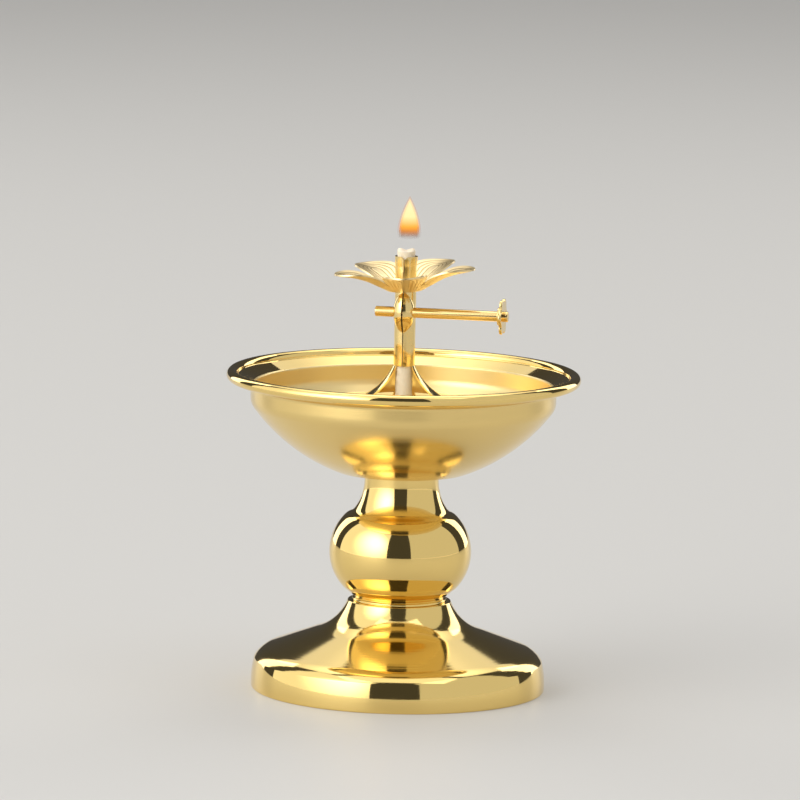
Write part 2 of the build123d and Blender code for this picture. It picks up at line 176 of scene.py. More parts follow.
def bump(material, height, strength, depth):
    """Tilt the surface as a height pattern of this depth in millimetres would, times a strength."""
    sockets = {"Strength": strength, "Distance": depth * MM, "Height": height}
    return add_node(material, "Bump", sockets).outputs[0]


def blend(material, share, first, second):
    """Colour between two hex colours, by a share from 0 to 1."""
    sockets = {0: share, 6: linear(first), 7: linear(second)}
    return add_node(material, "Mix", sockets, data_type="RGBA").outputs[2]


# %% [markdown]
# ## Studio
# Polished metal has no colour of its own to show, only what it mirrors. So the studio comes before the
# finishes. Two large soft lights stand left and right, two narrow ones behind draw bright lines down the
# edges, and two hang above for the bowl and the dish. The gaps between them give the metal its dark strips.

# %% Lights
LIGHT_CENTRE = Vector((0, 0, 60.0))


def softbox(name, azimuth, elevation, distance, size, radiance, lean=0.0, core=None):
    """Area light beside the lamp, its face tipped down by lean. Its power is 4 x area x radiance in Cycles.

    A core (u, v, reach, gain) makes it stronger round a point of its face, as a bulb behind a cloth does.
    """
    light = bpy.data.lights.new(name, "AREA")
    light.shape = "RECTANGLE"
    light.size, light.size_y = size[0] * MM, size[1] * MM
    light.energy = 4 * light.size * light.size_y * radiance
    lamp = new_object(name, light)
    towards = direction(VIEW_AZIMUTH + azimuth, elevation)
    facing = direction(VIEW_AZIMUTH + azimuth, lean).to_track_quat("Z", "Y").to_matrix().to_4x4()
    lamp.matrix_world = Matrix.Translation((LIGHT_CENTRE + towards * distance) * MM) @ facing
    lamp.visible_camera = False
    if core:
        u, v, reach, gain = core
        light.use_nodes = True
        face = add_node(light, "NewGeometry").outputs["Parametric"]
        away = add_node(light, "VectorMath", {0: face, 1: (u, v, 0)}, operation="SUBTRACT")
        span = add_node(light, "VectorMath", {0: away}, operation="LENGTH").outputs["Value"]
        fall = {"Value": span, 1: 0.0, 2: reach, 3: gain, 4: 1.0}
        glow = add_node(light, "MapRange", fall, interpolation_type="SMOOTHSTEP")
        light.node_tree.links.new(glow.outputs[0], light.node_tree.nodes["Emission"].inputs["Strength"])


LARGE = {"elevation": 45.0, "distance": 2050.0, "size": (3060.0, 3060.0)}
NARROW = {"elevation": 23.0, "distance": 1800.0, "size": (520.0, 1520.0), "radiance": 1.7}
softbox("key_left", -68.0, **LARGE, radiance=0.85, core=(0.7, 0.3, 0.45, 4.0))
softbox("fill_right", 64.0, **LARGE, radiance=0.5)
softbox("edge_left", -140.0, **NARROW)
softbox("edge_right", 140.0, **NARROW)
softbox(
    "back_top", azimuth=180.0, elevation=58.0, distance=2600.0, size=(3200.0, 2400.0), radiance=0.7,
    lean=58.0, core=(0.5, 0.8, 0.7, 3.0),
)
softbox(
    "front_top", azimuth=0.0, elevation=76.0, distance=2500.0, size=(2800.0, 1300.0), radiance=0.9,
    lean=76.0,
)

world = bpy.data.worlds.new("studio")
world.use_nodes = True
background = world.node_tree.nodes["Background"].inputs
background["Color"].default_value = linear("#8C8C8E")
background["Strength"].default_value = 0.25
bpy.context.scene.world = world
bpy.context.scene.view_settings.view_transform = "Standard"
print("lights:", len(bpy.data.lights))

# %% [markdown]
# ## Floor
# A pale, matt board fills the picture. It glows a little for the camera and for mirrors, so that it looks
# even in the picture and in the metal, but it lights nothing by itself.

# %% Floor
FLOOR_SIZE = 12000.0
FLOOR_COLOUR = linear("#B6B4B0")
FLOOR_GLOW = 0.36


def matt_pale_floor():
    """Painted board: a dull, faint sheen, and a glow that only camera, mirror and glass rays see."""
    material = new_finish(
        "matt_pale_floor", Base_Color=FLOOR_COLOUR, Emission_Color=FLOOR_COLOUR, Roughness=0.5,
        Specular_IOR_Level=0.2,
    )
    rays = add_node(material, "LightPath").outputs
    seen = rays["Is Camera Ray"]
    for kind in ("Is Glossy Ray", "Is Transmission Ray"):
        seen = add_node(material, "Math", {0: seen, 1: rays[kind]}, operation="MAXIMUM")
    glow = add_node(material, "Math", {0: seen, 1: FLOOR_GLOW}, operation="MULTIPLY")
    plug(material, Emission_Strength=glow.outputs[0])
    return material


half = FLOOR_SIZE * MM / 2
floor_mesh = bpy.data.meshes.new("floor")
floor_corners = [(x * half, y * half, 0) for x, y in ((-1, -1), (1, -1), (1, 1), (-1, 1))]
floor_mesh.from_pydata(floor_corners, [], [(0, 1, 2, 3)])
floor_mesh.materials.append(matt_pale_floor())
floor = new_object("floor", floor_mesh)

# %% [markdown]
# ## Polished gold plate
# The stem, the base's band and the bowl's rim are brass, buffed and plated with a thin layer of gold. The
# eye sees sharp reflections in a warm yellow, only slightly veiled where a cloth has wiped. A low roughness
# that drifts with a broad noise gives that veil.

# %% Gold plate, buffed
GOLD = linear("#F3D486")
WIPE_MARK_SIZE = 9.0


def buffed_gold_plate():
    """Mirror finish: roughness drifts between 0.03 and 0.08 over wipe marks of about 9 mm."""
    material = new_finish("gold_plated_brass_buffed", Base_Color=GOLD, Metallic=1.0)
    marks = noise(material, place_on(material), WIPE_MARK_SIZE, detail=4.0)
    plug(material, Roughness=ranged(material, marks, 0.35, 0.7, low=0.03, high=0.08))
    return material


GOLD_PLATE = buffed_gold_plate()

# %% [markdown]
# ## Turned and spun finishes
# A lathe leaves fine rings. On the base's slope they were almost polished away, so reflections stay but are
# combed. The bowl was rubbed with grit as it turned: finely outside, for a satin that mirrors softly, and
# coarsely inside, where only a glow is left. All use noise read at (radius, height), the same all round.

# %% Rings that a lathe leaves
RING_SPACING = 0.55
RING_DEPTH = 0.05


def lathe_rings(material):
    """Noise on (radius, 0, height) of the place on the piece, so that it makes closed rings."""
    place = place_on(material)
    flat = add_node(material, "VectorMath", {0: place, 1: (1, 1, 0)}, operation="MULTIPLY")
    radius = add_node(material, "VectorMath", {0: flat}, operation="LENGTH").outputs["Value"]
    height = add_node(material, "SeparateXYZ", {0: place}).outputs[2]
    ring = add_node(material, "CombineXYZ", {0: radius, 2: height})
    return noise(material, ring, RING_SPACING, detail=3.0)


def turned_gold_plate():
    """Polished over the lathe's rings: still a mirror, but its image is combed sideways."""
    material = new_finish("gold_plated_brass_turned", Base_Color=GOLD, Metallic=1.0, Roughness=0.09)
    plug(material, Normal=bump(material, lathe_rings(material), 0.22, RING_DEPTH))
    return material


def spun_satin_brass(name, colour, smooth, rough):
    """Grit rubbed round and round: a soft glow between two roughnesses, stretched across the rings."""
    material = new_finish(
        name, Base_Color=linear(colour), Metallic=1.0, Anisotropic=0.5, Anisotropic_Rotation=0.25
    )
    rings = lathe_rings(material)
    grain = ranged(material, rings, 0.3, 0.7, smooth, rough)
    around = add_node(material, "Tangent", direction_type="RADIAL", axis="Z").outputs[0]
    plug(material, Roughness=grain, Normal=bump(material, rings, 0.05, RING_DEPTH), Tangent=around)
    return material


TURNED_PLATE = turned_gold_plate()
SATIN_BRASS = spun_satin_brass("spun_brass_satin", "#EED18A", 0.14, 0.20)
MATT_BRASS = spun_satin_brass("spun_brass_scoured", "#F2DA9C", 0.34, 0.40)

# %% [markdown]
# ## Sheet brass
# The wick holder is thin brass sheet, cut, bent and stamped by hand, so its mirror is full of small dents.
# The petals are duller, and their grooves are painted darker as painted shade. A map on the dish tells the
# finish how far each point lies from its petal's edge, so that the painted shade falls into the real
# grooves.

# %% Sheet brass
PETAL_BRASS = "#F1DAA6"
PETAL_GROOVE_SHADE = "#A98646"
DENT_SIZE = 2.6
DENT_DEPTH = 0.2
SCUFF_SIZE = 0.5
GROOVE_SPACING = 1.15
GROOVE_FIRST = 1.0
GROOVES = 4
MAP_SPAN = 10.0


def stamped_sheet_brass(name, colour, smooth, rough, dent):
    """Thin sheet: dents a few millimetres wide, with finer scuffs between a smooth and a rough limit."""
    material = new_finish(name, Base_Color=linear(colour), Metallic=1.0)
    place = place_on(material)
    dents = noise(material, place, DENT_SIZE, detail=1.0)
    scuffs = noise(material, place, SCUFF_SIZE, detail=3.0)
    veil = ranged(material, scuffs, 0.35, 0.7, smooth, rough)
    plug(material, Roughness=veil, Normal=bump(material, dents, dent, DENT_DEPTH))
    return material


def petal_sheet_brass():
    """Stamped petals: grooves in rows along the edge get painted shade, darker where a cosine of the
    distance is lowest.

    The map's u is the distance from the petal's edge, as a share of MAP_SPAN millimetres.
    """
    material = stamped_sheet_brass("sheet_brass_stamped_groove_shade", PETAL_BRASS, 0.30, 0.40, 0.08)
    edge_map = add_node(material, "UVMap", uv_map="petal")
    edge = add_node(material, "SeparateXYZ", {0: edge_map}).outputs[0]
    first = (GROOVE_FIRST - GROOVE_SPACING / 2) / MAP_SPAN
    last = first + GROOVES * GROOVE_SPACING / MAP_SPAN
    phase = ranged(material, edge, first, last, 0.0, 2 * np.pi * GROOVES)
    wave = add_node(material, "Math", {0: phase}, operation="COSINE")
    # Painted shade: the petal colour is blended towards a darker brass in the grooves.
    groove_shade = ranged(material, wave, -0.3, -1.0, 0.0, 1.0)
    plug(material, Base_Color=blend(material, groove_shade, PETAL_BRASS, PETAL_GROOVE_SHADE))
    return material


SHEET = stamped_sheet_brass("sheet_brass_rolled", "#F0D490", 0.08, 0.18, 0.16)
PETAL_SHEET = petal_sheet_brass()

# %% [markdown]
# ## Rod, steel and cotton
# The spindle is drawn rod, with faint lines along it. Zinc plated steel, cool and cloudy, holds the lamp
# together. The wick is matt, off-white cotton. Noise stretched along one axis draws both lines and fibres.

# %% Rod, steel and cotton
DRAW_LINE_SPACING = 0.25
SPANGLE_SIZE = 1.5
FIBRE_SIZE = 0.22


def stretched(material, scale, size, detail):
    """Noise drawn out along the axis whose scale is small."""
    along = add_node(material, "Mapping", {"Vector": place_on(material), "Scale": scale})
    return noise(material, along, size, detail)


def drawn_rod_brass():
    """Rod pulled through a die: faint lines along X, read as noise that is stretched along the rod."""
    material = new_finish("rod_brass_drawn", Base_Color=linear("#F0D08C"), Metallic=1.0)
    lines = stretched(material, (0.03, 1, 1), DRAW_LINE_SPACING, detail=2.0)
    rough = ranged(material, lines, 0.3, 0.7, low=0.05, high=0.11)
    plug(material, Roughness=rough, Normal=bump(material, lines, 0.06, 0.04))
    return material


def zinc_plated_steel():
    """Bright zinc: cool grey, with cloudy spangles in its roughness."""
    material = new_finish("steel_zinc_plated", Base_Color=linear("#B9BBBE"), Metallic=1.0)
    cells = {"Vector": place_on(material), "Scale": 1 / (SPANGLE_SIZE * MM)}
    spangle = add_node(material, "TexVoronoi", cells).outputs["Color"]
    plug(material, Roughness=ranged(material, spangle, 0.0, 1.0, low=0.28, high=0.42))
    return material


def twisted_cotton():
    """Matt cotton: fibres as fine noise drawn out along the cord, painted lighter where they stand up as a
    painted highlight.
    """
    material = new_finish("cotton_cord", Roughness=0.9, Sheen_Weight=0.4)
    fibres = stretched(material, (1, 1, 0.25), FIBRE_SIZE, detail=3.0)
    # Painted highlight: the tint goes to the lighter cream where the fibres' bump stands up.
    tint = blend(material, fibres, "#F2E2C2", "#FFF6E2")
    plug(material, Base_Color=tint, Normal=bump(material, fibres, 0.5, 0.1))
    return material


ROD = drawn_rod_brass()
STEEL = zinc_plated_steel()
COTTON = twisted_cotton()

# %% [markdown]
# ## From arrays to meshes
# Each piece below is a grid of points worked out as one numpy array. Helpers lay a grid round an axis,
# number its quads, close a bent sheet with a second face and rims, and put solids together. The last one
# builds the object, turns its faces outwards, keeps sharp creases, and lets it ride on its CAD body.

# %% Helpers for meshes
SHARP_ANGLE = 35.0
SEAM_GAP = 0.0002


def full_turn(count):
    """Angles of a full turn, in radians, without the last one, which is the first again."""
    return np.linspace(0, 2 * np.pi, count, endpoint=False)


def zigzag(angle):
    """Triangle wave: 1 at each full turn of the angle and 0 half way between."""
    return np.abs(angle / (2 * np.pi) % 1 * 2 - 1)


def circle_beside(radius, offset, angle):
    """Far side of a circle that stands off the axis, or 0 where a ray from the axis misses it.

    It is offset x cosine, plus the root of radius squared less (offset x sine) squared.
    """
    reach = radius**2 - (offset * np.sin(angle)) ** 2
    return np.where(reach > 0, offset * np.cos(angle) + np.sqrt(np.maximum(reach, 0)), 0)


def about_axis(radius, angle, height):
    """Grid of points about the Z axis, from a radius and a height at each angle."""
    points = np.broadcast_arrays(radius * np.cos(angle), radius * np.sin(angle), height)
    return np.stack(points, axis=-1)


def grid_quads(rows, columns, wrap_rows=False, wrap_columns=False):
    """Quads of a grid whose points are numbered row by row. A wrapped side joins on to its start."""
    row, column = np.indices((rows - 1 + wrap_rows, columns - 1 + wrap_columns))
    below = (row + 1) % rows * columns
    right = (column + 1) % columns
    row = row * columns
    return np.stack((row + column, row + right, below + right, below + column), axis=-1).reshape(-1, 4)


def ring_solid(grid, closed=False):
    """Solid whose rows are rings: from pole to pole or, closed, with the last ring joined to the first."""
    return grid.reshape(-1, 3), grid_quads(*grid.shape[:2], closed, True)


def rim_quads(first, second):
    """Quads that join two lines of point numbers."""
    return np.stack((first[:-1], first[1:], second[1:], second[:-1]), axis=-1)


def sheet_shell(grid, thickness, wrap_columns=False):
    """Close a bent sheet: its grid moved half the thickness to both sides, with rims along open edges."""
    rows, columns, _ = grid.shape
    if wrap_columns:
        ring = np.concatenate((grid[:, -1:], grid, grid[:, :1]), axis=1)
        across = (ring[:, 2:] - ring[:, :-2]) / 2
    else:
        across = np.gradient(grid, axis=1)
    normal = np.cross(np.gradient(grid, axis=0), across)
    normal *= thickness / 2 / np.linalg.norm(normal, axis=-1, keepdims=True)
    points = np.concatenate((grid + normal, grid - normal)).reshape(-1, 3)
    face = grid_quads(rows, columns, wrap_columns=wrap_columns)
    number = np.arange(rows * columns).reshape(rows, columns)
    if wrap_columns:
        number = np.concatenate((number, number[:, :1]), axis=1)
    back = number + rows * columns
    quads = [face, (face + rows * columns)[:, ::-1]]
    quads += [rim_quads(back[0], number[0]), rim_quads(number[-1], back[-1])]
    if not wrap_columns:
        quads += [rim_quads(number[:, 0], back[:, 0]), rim_quads(back[:, -1], number[:, -1])]
    return points, np.concatenate(quads)


def merge(*solids):
    """Put several (points, quads) solids into one, each with its faces outwards."""
    offsets = np.cumsum([0] + [len(points) for points, _ in solids[:-1]])
    quads = [outward(*solid) + offset for solid, offset in zip(solids, offsets)]
    return np.concatenate([points for points, _ in solids]), np.concatenate(quads)


def outward(points, quads):
    """Turn the quads over where the volume they enclose comes out negative."""
    a, b, c, d = (points[quads[:, i]] for i in range(4))
    volume = np.einsum("ij,ij->", a, np.cross(b, c)) + np.einsum("ij,ij->", a, np.cross(c, d))
    return quads if volume > 0 else quads[:, ::-1]


def make_piece(name, solid, body, material, replaces, petal_map=None):
    """Build a smooth mesh piece at the origin, close its seams and poles, and fasten it to its CAD body."""
    points, quads = solid
    mesh = bpy.data.meshes.new(name)
    mesh.from_pydata(points * MM, [], outward(points, quads).tolist())
    if petal_map is not None:
        corners = np.empty(len(mesh.loops), np.int32)
        mesh.loops.foreach_get("vertex_index", corners)
        mesh.uv_layers.new(name="petal").data.foreach_set("uv", petal_map[corners].ravel())
    work = bmesh.new()
    work.from_mesh(mesh)
    bmesh.ops.remove_doubles(work, verts=work.verts, dist=SEAM_GAP * MM)
    work.to_mesh(mesh)
    work.free()
    mesh.polygons.foreach_set("use_smooth", np.ones(len(mesh.polygons), bool))
    mesh.set_sharp_from_angle(angle=np.radians(SHARP_ANGLE))
    mesh.materials.append(material)
    piece = new_object(name, mesh)
    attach(piece, body)
    if replaces:
        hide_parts(replaces)
    print(name, len(mesh.vertices), "points,", len(mesh.polygons), "faces")
    return piece


# %% [markdown]
# ## Profiles
# Base, stem and bowl are turned, so each is a profile carried round the axis. A profile is made of runs,
# straight or round, and every corner between two runs is eased by a small parabola: a real edge is never
# quite sharp, and the easing is what catches the light.

# %% Helpers for profiles
SEGMENTS = 200


def unit(degrees):
    """Unit vector, or a column of two for each angle, at an angle above the radius."""
    return np.array((np.cos(np.radians(degrees)), np.sin(np.radians(degrees))))


def straight(start, end, step=0.6):
    """Points along a line, at most step apart."""
    count = int(np.ceil(np.hypot(end[0] - start[0], end[1] - start[1]) / step)) + 1
    return np.linspace(start, end, max(count, 3))


def straights(*points, step=0.6):
    """Straight runs from each point to the next."""
    return [straight(start, end, step) for start, end in zip(points, points[1:])]


def backwards(runs):
    """The same runs from their far end."""
    return [run[::-1] for run in runs[::-1]]


def arc(centre, radius, first, last, count=40):
    """Points on a circle between two angles in degrees."""
    return centre + radius * unit(np.linspace(first, last, count)).T


def tangent_arc(start, end, heading, count=40):
    """Arc that leaves start along heading (degrees) for end: each chord turns half as far as the arc."""
    chord = np.subtract(end, start)
    turn = np.arctan2(chord[1], chord[0]) - np.radians(heading)
    angle = turn * np.linspace(0, 1, count)
    reach = np.hypot(*chord) * np.sin(angle) / np.sin(turn)
    return start + reach[:, None] * unit(heading + np.degrees(angle)).T


def arc_through(start, middle, end, count=40):
    """Arc through three points, from the centre that is as far from each of them."""
    points = np.array((start, middle, end), float)
    sides = 2 * (points[1:] - points[0])
    centre = np.linalg.solve(sides, (points[1:] ** 2).sum(1) - (points[0] ** 2).sum())
    angle = np.degrees(np.unwrap(np.arctan2(*(points - centre).T[::-1])))
    return arc(centre, np.hypot(*(points[0] - centre)), angle[0], angle[2], count)


def lengths(run):
    """Length along a run at each of its points."""
    return np.concatenate(([0], np.cumsum(np.hypot(*np.diff(run, axis=0).T))))


def at_lengths(run, places):
    """Points of a run at given lengths along it."""
    return np.column_stack([np.interp(places, lengths(run), column) for column in run.T])


def trimmed(run, from_start, from_end):
    """Cut a length off both ends of a run, measured along it."""
    along = lengths(run)
    inner = along[(along > from_start) & (along < along[-1] - from_end)]
    return at_lengths(run, np.concatenate(([from_start], inner, [along[-1] - from_end])))


def softened(run, width, step=0.1):
    """Average a run over a window of its length, as a buffing wheel rounds its corners."""
    whole = lengths(run)[-1]
    points = at_lengths(run, np.linspace(0, whole, int(whole / step)))
    reach = int(width / step / 2)
    before = 2 * points[0] - points[reach:0:-1]
    after = 2 * points[-1] - points[-2:-reach - 2:-1]
    window = np.hanning(2 * reach + 3)[1:-1]
    longer = np.concatenate((before, points, after))
    return np.column_stack([np.convolve(column, window / window.sum(), "valid") for column in longer.T])


def profile_of(runs, eases, closed=False):
    """Join runs end to end. An eased corner is cut back on both sides and bridged by a parabola.

    eases holds one length in millimetres for the end of each run, and 0 where the next run goes on smoothly.
    """
    before = [eases[-1] if closed else 0] + list(eases)
    after = list(eases) + ([] if closed else [0])
    share = np.linspace(0, 1, 9)[1:-1, None]
    cut = [trimmed(run, before[i], after[i]) for i, run in enumerate(runs)]
    pieces = []
    for i, run in enumerate(cut):
        pieces.append(run if after[i] else run[:-1])
        if after[i]:
            corner, end = runs[i][-1], cut[(i + 1) % len(cut)][0]
            pieces.append((1 - share) ** 2 * run[-1] + 2 * share * (1 - share) * corner + share**2 * end)
    if not closed:
        pieces.append(runs[-1][-1:])
    return np.concatenate(pieces)


def turned(profile, segments, closed=False):
    """Carry a profile of (radius, height) once round the Z axis."""
    return ring_solid(about_axis(profile[:, :1], full_turn(segments), profile[:, 1:]), closed)


def spun(runs, eases, closed=False):
    """Turned solid from runs and the eases of their corners."""
    return turned(profile_of(runs, eases, closed), SEGMENTS, closed)


# %% [markdown]
# ## Base
# A disc of brass was spun over a wooden form: a flared neck, a straight slope, a rounded shoulder and an
# upright band, turned in underneath to stand on. It is hollow, and the nut that holds the lamp together
# is seen from below. The slope keeps its turning rings, and the band is buffed.

# %% Base
BASE_STAND_RADIUS = 37.4
BASE_BELLY_RADIUS = 37.45
BASE_EDGE = (36.7, 7.5)
BASE_SHOULDER = (33.2, 10.3)
BASE_SLOPE = 20.5
BASE_FLARE_RADIUS = 21.0
BASE_NECK_RADIUS = 13.1
BASE_WALL = 1.2
BASE_LIP = 3.0
BASE_SEAT = 1.6
ROD_HOLE = 2.8
TURNED_FROM = BASE_EDGE[1] + 0.15


def base_skin(inset, top, bottom):
    """The base's curve moved in by inset, as runs from the neck down to the stand."""
    shift_z, shift_r = inset * unit(BASE_SLOPE)
    neck = (BASE_NECK_RADIUS - inset, top)
    rise = (BASE_SHOULDER[0] - BASE_FLARE_RADIUS) * np.tan(np.radians(BASE_SLOPE))
    flare = (BASE_FLARE_RADIUS - shift_r, BASE_SHOULDER[1] + rise - shift_z)
    shoulder = (BASE_SHOULDER[0] - shift_r, BASE_SHOULDER[1] - shift_z)
    edge = (BASE_EDGE[0] - inset, BASE_EDGE[1] - shift_r)
    belly = (BASE_BELLY_RADIUS - inset, BASE_EDGE[1] / 3)
    stand = (BASE_STAND_RADIUS - inset, bottom)
    return [
        tangent_arc(flare, neck, 180.0 - BASE_SLOPE)[::-1],
        straight(flare, shoulder),
        tangent_arc(shoulder, edge, -BASE_SLOPE),
        arc_through(edge, belly, stand),
    ]


def finish_where(piece, material, chosen):
    """Give one more finish to the faces whose centre (radius and height in mm) is chosen."""
    faces = piece.data.polygons
    centres = np.empty(len(faces) * 3)
    faces.foreach_get("center", centres)
    x, y, z = centres.reshape(-1, 3).T / MM
    finishes = np.empty(len(faces), np.int32)
    faces.foreach_get("material_index", finishes)
    finishes[chosen(np.hypot(x, y), z)] = len(piece.data.materials)
    faces.foreach_set("material_index", finishes)
    piece.data.materials.append(material)


outside = base_skin(0.0, BASE_TOP, 0.0)
inside = backwards(base_skin(BASE_WALL, BASE_TOP - BASE_SEAT, BASE_WALL))
lip = BASE_STAND_RADIUS - BASE_LIP
base_runs = straights((ROD_HOLE, BASE_TOP), (BASE_NECK_RADIUS, BASE_TOP)) + outside
base_runs += straights((BASE_STAND_RADIUS, 0), (lip, 0), (lip, BASE_WALL), inside[0][0]) + inside
base_runs += straights(inside[-1][-1], (ROD_HOLE, BASE_TOP - BASE_SEAT), (ROD_HOLE, BASE_TOP))
base_eases = [0.2, 0, 0, 0.12, 0.45, 0.3, 0.3, 0.3, 0.3, 0, 0, 0.3, 0.2, 0.2]
base_solid = spun(base_runs, base_eases, closed=True)
base = make_piece("base_spun", base_solid, "stand", GOLD_PLATE, "base")
finish_where(base, TURNED_PLATE, lambda radius, height: height > TURNED_FROM)

# %% [markdown]
# ## Stem
# The stem is one spun shell: a collar on the base's neck, a short cone, a flattened ball, and a cove that
# narrows to the neck under the bowl. It is the brightest mirror of the lamp. The ball's section is an arc
# that stands off the axis, and buffing has rounded the step between ball and cove.

# %% Stem
COLLAR_RADIUS = 12.0
COLLAR_HEIGHT = 0.6
WAIST_RADIUS = 11.4
WAIST_STEP = 0.3
BALL_CENTRE = (5.0, BASE_TOP + 12.45)
BALL_SECTION = 13.1
BALL_BELOW = 8.9
BALL_ABOVE = 9.8
COVE_RADIUS = 12.4
COVE_STEP = 0.4
COVE_HEIGHT = 8.1
NECK_RADIUS = 9.45
STEM_WALL = 1.2
BUFFED_WIDTH = 3.0

ball_low, ball_high = np.degrees(np.arcsin(np.array((-BALL_BELOW, BALL_ABOVE)) / BALL_SECTION))
ball = arc(BALL_CENTRE, BALL_SECTION, ball_low, ball_high, 120)
cove_foot = (COVE_RADIUS, BALL_CENTRE[1] + BALL_ABOVE + COVE_STEP)
cove_top = (NECK_RADIUS, cove_foot[1] + COVE_HEIGHT)
cove = tangent_arc(cove_top, cove_foot, -90.0, 80)[::-1]
collar = (COLLAR_RADIUS, BASE_TOP)
collar_top = (COLLAR_RADIUS, BASE_TOP + COLLAR_HEIGHT)
waist = (WAIST_RADIUS, BASE_TOP + COLLAR_HEIGHT + WAIST_STEP)
neck = (NECK_RADIUS, STEM_TOP)
neck_inside = (NECK_RADIUS - STEM_WALL, STEM_TOP)
foot_inside = (WAIST_RADIUS - STEM_WALL, BASE_TOP)
inner_section = BALL_SECTION - STEM_WALL
inner_low = -np.degrees(np.arccos((foot_inside[0] - BALL_CENTRE[0]) / inner_section))
inner_high = np.degrees(np.arccos((neck_inside[0] - BALL_CENTRE[0]) / inner_section))
ball_inside = arc(BALL_CENTRE, inner_section, inner_high, inner_low)
stem_runs = [
    straight(foot_inside, collar),
    straight(collar, collar_top, step=0.2),
    straight(collar_top, waist, step=0.15),
    straight(waist, ball[0], step=0.2),
    softened(np.concatenate((ball, cove, (neck,))), BUFFED_WIDTH),
    straight(neck, neck_inside),
    straight(neck_inside, ball_inside[0]),
    ball_inside,
    straight(ball_inside[-1], foot_inside),
]
stem_eases = [0.2, 0.18, 0.12, 0.3, 0.15, 0.15, 0, 0, 0.2]
stem_solid = spun(stem_runs, stem_eases, closed=True)
make_piece("stem_spun", stem_solid, "stand", GOLD_PLATE, "stem")

# %% [markdown]
# ## Bowl
# The bowl is a spherical dish with a tight corner, a short upright wall and a sloping lip. The sheet's edge
# is rolled over a wire, which makes the bead. It is satin outside, scoured inside, and buffed on lip and
# bead. Only a few sizes are set, and the rest follow from where straight and round stretches touch.

# %% Bowl: lip, bead and sphere
BOWL_FOOT_RADIUS = 16.3
BOWL_BODY_RADIUS = 38.8
BOWL_CORNER = 4.0
BOWL_UPRIGHT = 3.0
BOWL_WALL = 0.9
LIP_WIDTH = 6.2
BEAD_RADIUS = 1.45
THROAT_ROUND = 0.3
THROAT_DROP = 2.0

inner_wall = BOWL_BODY_RADIUS - BOWL_WALL
bead = np.array((BOWL_BODY_RADIUS + LIP_WIDTH - BEAD_RADIUS, RIM_TOP - BEAD_RADIUS))
throat = np.array((inner_wall + THROAT_ROUND, bead[1] - THROAT_DROP))
lip_span = np.hypot(*(bead - throat))
lip_slope = np.arctan2(THROAT_DROP, bead[0] - throat[0]) + np.arcsin(BOWL_WALL / 2 / lip_span)
lip_along = unit(np.degrees(lip_slope))
lip_across = np.array((-lip_along[1], lip_along[0])) * BOWL_WALL / 2
lip_end = bead - lip_along * np.sqrt(BEAD_RADIUS**2 - (BOWL_WALL / 2) ** 2)
lip_below, lip_above = lip_end - lip_across, lip_end + lip_across
bead_gap = np.degrees(np.arcsin(BOWL_WALL / 2 / BEAD_RADIUS))
bead_back = np.degrees(lip_slope) - 180.0
wall_top = lip_below[1] - (lip_below[0] - BOWL_BODY_RADIUS) * np.tan(lip_slope)

corner_rise = wall_top - BOWL_UPRIGHT - STEM_TOP
corner = np.array((BOWL_BODY_RADIUS - BOWL_CORNER, STEM_TOP + corner_rise))
# The sphere's centre lies on the axis. Its distance from the foot's edge is that from the corner's centre,
# plus the corner's radius.
share = corner_rise / BOWL_CORNER
power = (BOWL_FOOT_RADIUS**2 - corner[0] ** 2 - corner_rise**2 + BOWL_CORNER**2) / (2 * BOWL_CORNER)
sphere_rise = (np.sqrt(power**2 + (share**2 - 1) * BOWL_FOOT_RADIUS**2) - power * share) / (share**2 - 1)
sphere_radius = np.hypot(BOWL_FOOT_RADIUS, sphere_rise)
sphere_centre = np.array((0.0, STEM_TOP + sphere_rise))
meeting = np.degrees(np.arctan2(corner[1] - sphere_centre[1], corner[0]))
print("the bowl's sphere has a radius of", round(sphere_radius, 2), "mm")

# %% Bowl: the turned piece
LIP_FINISH = (throat[0] - 0.1, wall_top + 0.6)


def bowl_skin(inset, level):
    """The bowl's sphere and corner moved in by inset, as runs from its flat at level out to the wall."""
    radius = sphere_radius - inset
    start = -np.degrees(np.arcsin((sphere_centre[1] - level) / radius))
    flat = radius * np.cos(np.radians(start))
    return [
        straight((0, level), (flat, level), step=0.9),
        arc(sphere_centre, radius, start, meeting, 90),
        arc(corner, BOWL_CORNER - inset, meeting, 0.0, 24),
    ]


def inside_bowl(radius, height):
    """Within the sphere, round and wall that lie half way through the sheet, and below the throat."""
    in_wall = (height > corner[1]) & (radius < BOWL_BODY_RADIUS - BOWL_WALL / 2)
    in_round = np.hypot(radius - corner[0], height - corner[1]) < BOWL_CORNER - BOWL_WALL / 2
    in_sphere = np.hypot(radius, height - sphere_centre[1]) < sphere_radius - BOWL_WALL / 2
    return (in_wall | in_round | in_sphere & (radius < corner[0])) & (height < throat[1])


throat_foot = (inner_wall, throat[1] - THROAT_ROUND)
bowl_runs = bowl_skin(0.0, STEM_TOP)
bowl_runs += straights((BOWL_BODY_RADIUS, corner[1]), (BOWL_BODY_RADIUS, wall_top), lip_below, step=0.3)
bowl_runs += [
    arc(bead, BEAD_RADIUS, bead_back + bead_gap, bead_back + 360.0 - bead_gap, 64),
    straight(lip_above, throat, step=0.3),
    straight(throat, throat_foot, step=0.1),
    straight(throat_foot, (inner_wall, corner[1]), step=0.3),
]
bowl_runs += backwards(bowl_skin(BOWL_WALL, STEM_TOP + BOWL_WALL))
bowl_eases = [0.5, 0, 0, 0.5, 0.25, 0.25, 0.15, 0.15, 0, 0, 0.5]
bowl_solid = spun(bowl_runs, bowl_eases)
bowl = make_piece("bowl_spun", bowl_solid, "stand", SATIN_BRASS, "bowl")
finish_where(bowl, GOLD_PLATE, lambda radius, height: (radius > LIP_FINISH[0]) & (height > LIP_FINISH[1]))
finish_where(bowl, MATT_BRASS, inside_bowl)

